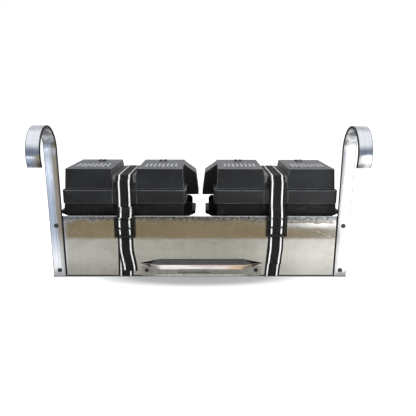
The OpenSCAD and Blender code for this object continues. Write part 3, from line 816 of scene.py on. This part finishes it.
def build_channel_ribs(side):
    """Ribs beside the strap, from the lid's channel over its front and rear edges, made pale by a painted
    highlight.
    """
    middle = SIDES[side] * BOX_X
    section = [(-0.8, 0.0), (0.8, 0.0), (0.6, 0.9), (-0.6, 0.9)]
    front = [Vector((17.7, 230)), Vector((17.9, 247))]
    front += arc_line((SHOULDER_Y, SHOULDER_Z), RIB_SHOULDER_R, 175, 92, 8)
    front += [Vector((34, 255.9))]
    rear = [Vector((2 * BOX_Y - p.x, p.y)) for p in reversed(front)]
    points, faces = [], []
    for line in (front, rear):
        for x in (-26.5, -23.2, 23.2, 26.5):
            more, skin, _ = sweep(line, section, lambda y, z: middle + x)
            k = len(points)
            points += more
            faces += [tuple(k + i for i in f) for f in skin]
    make_piece(f"{side}_lid_channel_ribs", f"{side}_lid_body", "lid_plastic", points, faces,
               look="pale_lit_rib_plastic", smooth=False)


# ---------- building ----------

build_tray()
for side in SIDES:
    build_hook(side)
    build_strap(side)
    show(f"{side}_tub", "tub_plastic", 1.0)
    show(f"{side}_tub_handles", "tub_plastic", 0.6)
    show(f"{side}_lid", "lid_plastic", 0.8, 3)
    show(f"{side}_lid_lobes", "lid_plastic", 1.0, 3)
    show(f"{side}_lid_hood", "lid_plastic", 1.0, 3)
    show(f"{side}_vent_caps", "cap_plastic", 0.5)
    show(f"{side}_buckle", "buckle_plastic", 0.6)
    build_lid_ribs(side)
    build_channel_ribs(side)
show("trim_plate", "bright_trim", 0.25)
build_trim_marks()
for node in ("hook_screws", "hook_nuts", "trim_screws", "trim_nuts"):
    show(node, "fastener_steel", 0.25)


# ---------- surroundings ----------

SHEET_REACH = 60.0


def lay_sheet(name, material, z):
    """A huge level sheet at height z metres."""
    corners = [(x * SHEET_REACH, y * SHEET_REACH, z) for x, y in ((-1, -1), (1, -1), (1, 1), (-1, 1))]
    mesh = bpy.data.meshes.new(name)
    mesh.from_pydata(corners, [], [(0, 1, 2, 3)])
    mesh.materials.append(material)
    sheet = bpy.data.objects.new(name, mesh)
    bpy.context.scene.collection.objects.link(sheet)
    return sheet


def build_floor():
    """White paper that lightens into the distance, with painted shade round the tray's foot."""
    s = Shader("paper_floor")
    place = s.place()
    fibre = s.noise(place, 420, 3)
    colour = s.blend(fibre, (0.54, 0.54, 0.54), (0.58, 0.58, 0.58))
    split = s.add("ShaderNodeSeparateXYZ", {"Vector": place}).outputs

    def ellipse(half_x, half_y, centre_y):
        x = s.math("DIVIDE", split[0], half_x)
        y = s.math("DIVIDE", s.math("SUBTRACT", split[1], centre_y), half_y)
        return s.math("SQRT", s.math("ADD", s.math("MULTIPLY", x, x), s.math("MULTIPLY", y, y)))

    middle = FRONT + TRAY_D * MM / 2
    beside = s.math("MAXIMUM", s.math("SUBTRACT", s.math("ABSOLUTE", split[0]), TRAY_L * MM / 2), 0.0)
    beyond = s.math("ABSOLUTE", s.math("SUBTRACT", split[1], middle))
    beyond = s.math("MAXIMUM", s.math("SUBTRACT", beyond, TRAY_D * MM / 2), 0.0)
    apart = s.math("ADD", s.math("MULTIPLY", beside, beside), s.math("MULTIPLY", beyond, beyond))
    apart = s.math("SQRT", apart)
    shade = s.between(ellipse(0.31, 0.088, FRONT), 0.55, 1.0, 0.40, 1.0)
    shade = s.math("MULTIPLY", shade, s.between(ellipse(0.40, 0.14, FRONT), 0.1, 1.0, 0.70, 1.0))
    touching = s.math("MINIMUM", s.between(apart, 0.0, 0.016, 0.45, 1.0),
                      s.between(apart, 0.0, 0.007, 0.06, 1.0))
    touching = s.math("MAXIMUM", touching, s.between(beside, 0.0, 0.006))
    shade = s.math("MINIMUM", shade, touching)
    s.finish(s.blend(shade, (0.0, 0.0, 0.0), colour), 0.9, s.bump(fibre, 0.00005, 0.3))
    s.feed(s.surface.inputs["Emission Color"], (1.0, 1.0, 1.0))
    glow = s.between(ellipse(1.0, 1.0, 0.0), 0.6, 2.4, 0.62, 1.0)
    s.feed(s.surface.inputs["Emission Strength"], s.math("MULTIPLY", glow, shade))
    floor = lay_sheet("floor", s.material, 0)
    floor.visible_glossy = False


def build_mirrored_floor():
    """What the polished metal sees instead of the white floor: grey paper, a brown card and bright sides.

    Only reflections show it. Its pattern widens towards the camera's place, which it takes as a constant,
    so its edges look upright in the tray's front from there. It stays put when the camera moves.
    """
    s = Shader("mirrored_floor")
    place = s.add("ShaderNodeTexCoord").outputs["Object"]
    split = s.add("ShaderNodeSeparateXYZ", {"Vector": place}).outputs
    drift = s.math("SUBTRACT", s.noise(place, 5.0, 3), 0.5)
    out = s.math("SUBTRACT", FRONT, split[1])
    spread = s.math("ADD", 1.0, s.math("DIVIDE", out, -CAMERA_PLACE[1] * MM))
    true_x = s.math("DIVIDE", split[0], spread)
    x = s.math("ADD", true_x, s.math("MULTIPLY", drift, 0.05))
    near = s.between(out, 0.0, 0.16, 0.74, 1.0)
    grey = s.blend(s.between(x, -0.34, 0.0), (0.60, 0.60, 0.57), (0.47, 0.46, 0.42))
    grey = s.blend(s.between(x, 0.08, 0.30), grey, (1.0, 1.0, 0.97))
    brown = s.blend(s.noise(place, 4.0, 3), (0.27, 0.21, 0.12), (0.33, 0.28, 0.19))
    ragged = s.math("ADD", x, s.math("MULTIPLY", s.math("SUBTRACT", s.noise(place, 9.0, 4), 0.5), 0.10))
    brown = s.blend(s.between(x, 0.20, 0.34, 0.0, 0.5), brown, (0.55, 0.54, 0.50))
    cloud = s.math("ADD", out, s.math("MULTIPLY", s.math("SUBTRACT", s.noise(place, 7.0, 4), 0.5), 0.30))
    corner = s.math("MULTIPLY", s.between(ragged, 0.25, 0.29), s.between(cloud, 0.46, 0.56))
    silver = s.blend(s.between(s.noise(place, 6.5, 4), 0.44, 0.56), (0.32, 0.33, 0.36), (0.95, 0.97, 1.0))
    brown = s.blend(s.math("MULTIPLY", s.between(x, 0.13, 0.18), s.between(cloud, 0.44, 0.54)), brown, silver)
    brown = s.blend(corner, brown, (2.0, 2.0, 2.0))
    colour = s.blend(s.between(out, 0.325, 0.345), grey, brown)
    left = s.blend(s.between(out, 0.03, 0.06), (0.60, 0.60, 0.60), (1.25, 1.26, 1.28))
    left = s.blend(s.between(out, 0.12, 0.40), left, (0.50, 0.58, 0.72))
    left = s.blend(s.between(out, 1.2, 1.6), left, (1.6, 1.75, 1.95))
    left = s.blend(s.between(out, 2.1, 2.5), left, (0.17, 0.205, 0.28))
    colour = s.blend(s.between(true_x, -0.338, -0.344), colour, left)
    right = s.blend(s.between(out, 0.03, 0.06), (0.60, 0.60, 0.60), (2.2, 2.2, 2.2))
    colour = s.blend(s.between(true_x, 0.338, 0.344), colour, right)
    strip = s.math("MULTIPLY", s.between(out, 0.016, 0.012), s.between(s.math("ABSOLUTE", x), 0.13, 0.10))
    colour = s.blend(strip, colour, (1.25, 1.25, 1.25))
    s.finish((0, 0, 0), 1.0, Specular_IOR_Level=0.0)
    s.feed(s.surface.inputs["Emission Color"], colour)
    s.feed(s.surface.inputs["Emission Strength"], near)
    sheet = lay_sheet("mirrored_floor", s.material, 0.0002)
    sheet.visible_camera = False
    sheet.visible_diffuse = False
    sheet.visible_shadow = False
    sheet.visible_transmission = False


def build_world():
    """White to the camera, dim grey to diffuse light, and to all other rays a studio with a bright back and
    sides, a bright ceiling and a dim front.
    """
    world = bpy.data.worlds.new("studio")
    bpy.context.scene.world = world
    world.use_nodes = True
    tree = world.node_tree
    links = tree.links

    def node(kind, inputs=None, **settings):
        made = tree.nodes.new(kind)
        for key, value in settings.items():
            setattr(made, key, value)
        for key, value in (inputs or {}).items():
            if isinstance(value, bpy.types.NodeSocket):
                links.new(value, made.inputs[key])
            else:
                made.inputs[key].default_value = value
        return made

    def ramp(value, low, high):
        return node("ShaderNodeMapRange", {"Value": value, "From Min": low, "From Max": high},
                    interpolation_type="SMOOTHSTEP").outputs[0]

    def mix(fac, a, b):
        return node("ShaderNodeMix", {"Factor": fac, 6: a, 7: b}, data_type="RGBA").outputs[2]

    way = node("ShaderNodeSeparateXYZ", {0: node("ShaderNodeTexCoord").outputs["Generated"]}).outputs
    rays = node("ShaderNodeLightPath").outputs
    side = mix(ramp(way[0], -0.7, 0.8), (0.92, 0.95, 1.02, 1), (1.2, 1.2, 1.2, 1))
    level = mix(ramp(way[1], -0.55, 0.25), (0.18, 0.21, 0.28, 1), side)
    room = mix(ramp(way[2], 0.25, 0.70), level, (1.0, 1.01, 1.05, 1))
    room = mix(rays["Is Diffuse Ray"], room, (0.22, 0.225, 0.235, 1))
    shown = mix(rays["Is Camera Ray"], room, (1, 1, 1, 1))
    background = tree.nodes["Background"]
    links.new(shown, background.inputs["Color"])


def add_softbox(name, place, aim, size, energy, colour):
    """A square lamp, hidden from reflections because the metal and the lids would mirror its shape."""
    light = bpy.data.lights.new(name, "AREA")
    light.energy = energy
    light.color = colour
    light.size = size
    lamp = bpy.data.objects.new(name, light)
    lamp.location = place
    lamp.rotation_euler = (Vector(aim) - Vector(place)).to_track_quat("-Z", "Y").to_euler()
    lamp.visible_glossy = False
    bpy.context.scene.collection.objects.link(lamp)


build_floor()
build_mirrored_floor()
build_world()
WHITE, COOL = (1.0, 1.0, 1.0), (0.9, 0.95, 1.0)
add_softbox("right_softbox", (1.25, -0.85, 0.75), (0.25, 0.0, 0.15), 0.8, 52, WHITE)
add_softbox("left_softbox", (-1.3, -0.7, 0.8), (-0.25, 0.0, 0.15), 0.7, 20, COOL)
add_softbox("top_softbox", (0.0, 0.5, 1.5), (0.0, 0.05, 0.2), 1.0, 12, WHITE)
bpy.context.scene.view_settings.view_transform = "Standard"
bpy.context.scene.view_settings.look = "None"
